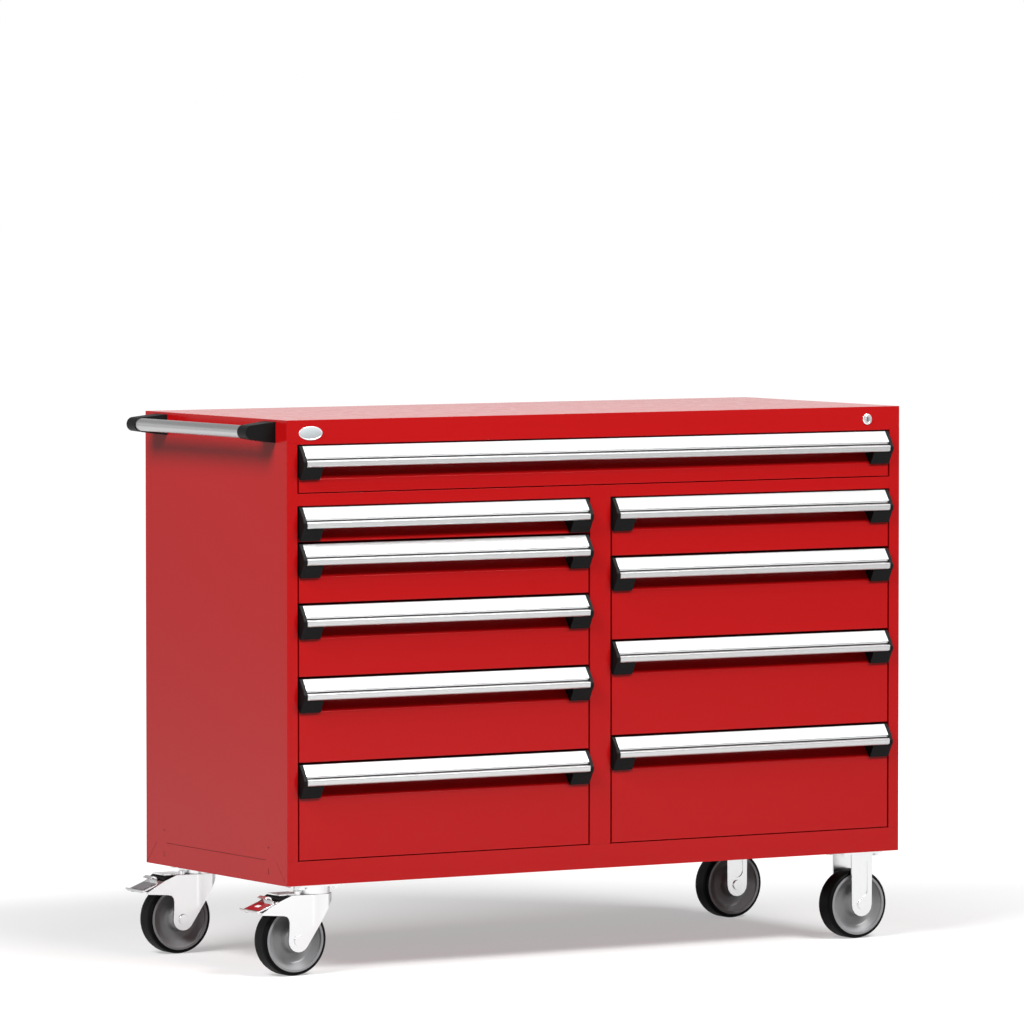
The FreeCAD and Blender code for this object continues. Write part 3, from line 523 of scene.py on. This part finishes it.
# pedal inserts on the pressed levers, with one plain bar on the front one: the lever's slope as a unit
# direction, its start from the tip, then each slab's start and end up the slope, lift and half width, in mm
PEDAL_SLOPE = (0.935, 0.355)
PEDAL_START = (9.0, 6.0)
for side, material in (("front", RED_INSERT), ("rear", GREY_INSERT)):
    node = f"brake_pedal_{side}"
    low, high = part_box(node)
    tip, floor_z = low.x, low.z
    centre_y = (low.y + high.y) / 2
    slope = Vector(PEDAL_SLOPE)
    up = Vector((-PEDAL_SLOPE[1], PEDAL_SLOPE[0]))
    start = Vector((tip + PEDAL_START[0] * MM, floor_z + PEDAL_START[1] * MM))
    for name, first, last, lift, half, made_of in (
        ("insert", 0.0, 33.0, 0.8, 26.0, material),
        ("mark", 12.0, 21.0, 1.2, 8.0, WHITE_MARK),
    ):
        if name == "mark" and side == "rear":
            continue
        a = start + slope * first * MM
        b = start + slope * last * MM
        ring = [a, b, b + up * lift * MM, a + up * lift * MM]
        slab = extruded(ring, centre_y - half * MM, centre_y + half * MM, "XZ")
        piece(f"pedal_{name}_{side}", slab, node, made_of, 0.0003, 2, replace=False)

# ---------------------------------------------------------------- badge and lock
node = "badge_plate"
low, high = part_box(node)
centre = (low + high) / 2
half_x = (high.x - low.x) / 2
half_z = (high.z - low.z) / 2


OVAL_SIDES = 96


def oval_plate(steps, start_y):
    """A closed oval plate from (inset, depth) rings, in mm from the node's own outline."""
    made = bmesh.new()
    rows = []
    for inset, depth in steps:
        row = []
        for number in range(OVAL_SIDES):
            angle = 2 * math.pi * number / OVAL_SIDES
            x = (half_x - inset * MM) * math.cos(angle)
            z = (half_z - inset * MM) * math.sin(angle)
            row.append(made.verts.new((centre.x + x, start_y - depth * MM, centre.z + z)))
        rows.append(row)
    for here, there in zip(rows, rows[1:]):
        for i in range(OVAL_SIDES):
            j = (i + 1) % OVAL_SIDES
            made.faces.new((here[i], here[j], there[j], there[i]))
    made.faces.new(rows[0])
    made.faces.new(list(reversed(rows[-1])))
    bmesh.ops.recalc_face_normals(made, faces=made.faces)
    return made


rim = oval_plate([(0, 0), (0, 0.7), (0.5, 1.2), (1.8, 1.2), (2.3, 0.7)], high.y)
piece("badge_rim", rim, node, MATERIALS["badge_aluminium"], 0, angle=50)
field = oval_plate([(2.4, 0.65), (2.4, 0.8), (2.7, 0.95)], high.y)
piece("badge_field", field, node, BADGE_FIELD, 0, angle=50, replace=False)
done.add(node)

# how far the lock's flange stands out, and the front and back of the keyway slab, a painted shade for the key
# slot, ahead of its base, in mm
FLANGE = 2.5
KEYWAY = (2.95, 2.6)
node = "lock_body"
low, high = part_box(node)
centre = Vector(((low.x + high.x) / 2, low.y + FLANGE * MM, (low.z + high.z) / 2))
outline = rounded([
    (6.56, 22, 0), (9.5, 22, 0.3), (9.5, 0, 0), (11.6, 0, 0.2), (11.6, -1.7, 0.7), (9.6, -2.5, 0.4),
    (8.0, -2.5, 0.3), (7.3, -1.4, 0.2), (6.56, -1.2, 0.1),
])
piece("lock_ring", turned([(u * MM, v * MM) for u, v in outline], centre), node, MATERIALS["lock_chrome"], 0)
done.add(node)
# the key slot: a thin near-black slab on the plug's face, painted shade in place of the slot's dark inside
keyhole = rounded([(-1.0, -4.2, 0.4), (1.0, -4.2, 0.4), (1.0, 4.2, 0.4), (-1.0, 4.2, 0.4)])
ring = [(centre.x + u * MM, centre.z + v * MM) for u, v in keyhole]
slab = extruded(ring, centre.y - KEYWAY[0] * MM, centre.y - KEYWAY[1] * MM, "XZ")
piece("lock_keyway", slab, "lock_plug", KEYWAY_SHADE, 0, replace=False)

# ---------------------------------------------------------------- everything else keeps its shape
# the softened edges' widths, in metres
WIDTHS = {"top_cap": 0.0008, "left_side_panel": 0.0006, "right_side_panel": 0.0006, "base_pan": 0.0006}
OTHER_WIDTH = 0.0004
for node in sorted(NODES):
    if node in done:
        continue
    for number, mesh in enumerate(solids_of(node), 1):
        label = f"{node}_{number}" if number > 1 else f"{node}_shown"
        piece(label, mesh, node, MATERIALS[SLOT_OF[node]], WIDTHS.get(node, OTHER_WIDTH))


# ---------------------------------------------------------------- studio
def node_of(tree, kind, **values):
    """Adds a shader node and sets its sockets, or its own settings, by name."""
    made = tree.nodes.new(kind)
    for key, value in values.items():
        if hasattr(made, key):
            setattr(made, key, value)
        else:
            made.inputs[key.replace("_", " ")].default_value = value
    return made


# the floor glows for the camera and for reflections, and is a plain dull surface for all other light
floor_mesh = bpy.data.meshes.new("studio_floor")
corners = [(x * FLOOR_HALF, y * FLOOR_HALF, 0) for x, y in ((-1, -1), (1, -1), (1, 1), (-1, 1))]
floor_mesh.from_pydata(corners, [], [(0, 1, 2, 3)])
floor = bpy.data.objects.new("studio_floor", floor_mesh)
scene.collection.objects.link(floor)
pale = Shader("studio_floor")
tree = pale.tree
kinds = node_of(tree, "ShaderNodeLightPath")
shiny = node_of(tree, "ShaderNodeMath", operation="MAXIMUM")
pale.link(kinds.outputs["Is Camera Ray"], shiny.inputs[0])
pale.link(kinds.outputs["Is Glossy Ray"], shiny.inputs[1])
pale.set(Base_Color=(*FLOOR_SEEN, 1), Roughness=0.7, Specular_IOR_Level=0.0, Emission_Color=(1, 1, 1, 1))
away = node_of(tree, "ShaderNodeVectorMath", operation="LENGTH")
pale.link(pale.coordinates, away.inputs[0])
glow = node_of(tree, "ShaderNodeMapRange", From_Min=1.0, From_Max=3.6, To_Min=FLOOR_GLOW, To_Max=FLOOR_FAR)
pale.link(away.outputs["Value"], glow.inputs["Value"])
sides = node_of(tree, "ShaderNodeSeparateXYZ")
pale.link(pale.coordinates, sides.inputs["Vector"])
side_shine = node_of(tree, "ShaderNodeMapRange", interpolation_type="SMOOTHSTEP", From_Min=1.0, From_Max=3.0,
                     To_Min=FLOOR_SHINE, To_Max=FLOOR_SHINE * FLOOR_SHINE_FAR)
pale.link(sides.outputs["X"], side_shine.inputs["Value"])
dimmed = node_of(tree, "ShaderNodeMix")
dimmed.inputs["A"].default_value = 1.0
pale.link(kinds.outputs["Is Glossy Ray"], dimmed.inputs["Factor"])
pale.link(side_shine.outputs["Result"], dimmed.inputs["B"])
glowing = node_of(tree, "ShaderNodeMath", operation="MULTIPLY")
pale.link(glow.outputs["Result"], glowing.inputs[0])
pale.link(dimmed.outputs["Result"], glowing.inputs[1])
pale.link(glowing.outputs[0], pale.shader.inputs["Emission Strength"])
dull = node_of(tree, "ShaderNodeBsdfDiffuse")
dull.inputs["Color"].default_value = (FLOOR_BOUNCE, FLOOR_BOUNCE, FLOOR_BOUNCE, 1)
both = node_of(tree, "ShaderNodeMixShader")
pale.link(shiny.outputs[0], both.inputs[0])
pale.link(dull.outputs[0], both.inputs[1])
pale.link(pale.shader.outputs[0], both.inputs[2])
pale.link(both.outputs[0], tree.nodes["Material Output"].inputs["Surface"])
pale.material.cycles.emission_sampling = "NONE"
floor_mesh.materials.append(pale.material)
floor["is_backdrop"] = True

# the surroundings: white to the camera, a ring and a soft patch in reflections, a dim ring as light
world = bpy.data.worlds.new("studio")
scene.world = world
world.use_nodes = True
tree = world.node_tree
background = tree.nodes["Background"]
background.inputs["Color"].default_value = (1, 1, 1, 1)
around = node_of(tree, "ShaderNodeTexCoord").outputs["Generated"]
separate = node_of(tree, "ShaderNodeSeparateXYZ")
tree.links.new(around, separate.inputs["Vector"])
rings = []
for lowest, highest in ((AMBIENT_LOW, AMBIENT_HIGH), (SHINE_LOW, SHINE_HIGH)):
    ring = node_of(tree, "ShaderNodeMapRange", interpolation_type="SMOOTHSTEP",
                   From_Min=0.02, From_Max=0.42, To_Min=lowest, To_Max=highest)
    tree.links.new(separate.outputs["Z"], ring.inputs["Value"])
    rings.append(ring)
toward = node_of(tree, "ShaderNodeVectorMath", operation="DOT_PRODUCT")
tree.links.new(around, toward.inputs[0])
toward.inputs[1].default_value = Vector(SOFTBOX).normalized()
patch = node_of(tree, "ShaderNodeMapRange", interpolation_type="SMOOTHSTEP",
                From_Min=0.80, From_Max=0.95, To_Min=0.0, To_Max=SOFTBOX_GAIN)
tree.links.new(toward.outputs["Value"], patch.inputs["Value"])
shine = node_of(tree, "ShaderNodeMath", operation="ADD")
tree.links.new(rings[1].outputs["Result"], shine.inputs[0])
tree.links.new(patch.outputs["Result"], shine.inputs[1])
kinds = node_of(tree, "ShaderNodeLightPath")
glossy = node_of(tree, "ShaderNodeMix")
tree.links.new(kinds.outputs["Is Glossy Ray"], glossy.inputs["Factor"])
tree.links.new(rings[0].outputs["Result"], glossy.inputs["A"])
tree.links.new(shine.outputs[0], glossy.inputs["B"])
plain = node_of(tree, "ShaderNodeMix")
plain.inputs["B"].default_value = 1.0
tree.links.new(kinds.outputs["Is Camera Ray"], plain.inputs["Factor"])
tree.links.new(glossy.outputs["Result"], plain.inputs["A"])
tree.links.new(plain.outputs["Result"], background.inputs["Strength"])
world.cycles.sampling_method = "NONE"


def lamp(name, direction, size, strength):
    """A soft rectangle of light; strength is what it adds to a surface that faces it."""
    data = bpy.data.lights.new(name, "AREA")
    data.shape = "RECTANGLE"
    data.size, data.size_y = size
    aim = Vector(direction).normalized()
    data.energy = strength * math.pi * math.pi * LAMP_DISTANCE * LAMP_DISTANCE
    made = bpy.data.objects.new(name, data)
    scene.collection.objects.link(made)
    made.location = Vector(LAMP_TARGET) + aim * LAMP_DISTANCE
    made.rotation_euler = aim.to_track_quat("Z", "Y").to_euler()


for name, (direction, size, strength) in LAMPS.items():
    lamp(name, direction, size, strength)

# ---------------------------------------------------------------- camera
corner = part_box("left_side_panel")[0]
camera_data = bpy.data.cameras.new("camera")
camera_data.lens = CAMERA_LENS
camera_data.sensor_width = 36
camera_data.clip_start = 0.5
camera_data.clip_end = 500
camera = bpy.data.objects.new("camera", camera_data)
scene.collection.objects.link(camera)
camera.location = Vector(corner) + Vector(CAMERA_FROM_CORNER)
camera.rotation_euler = (math.pi / 2 - CAMERA_TILT, 0, -CAMERA_TURN)
scene.camera = camera

low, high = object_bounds()
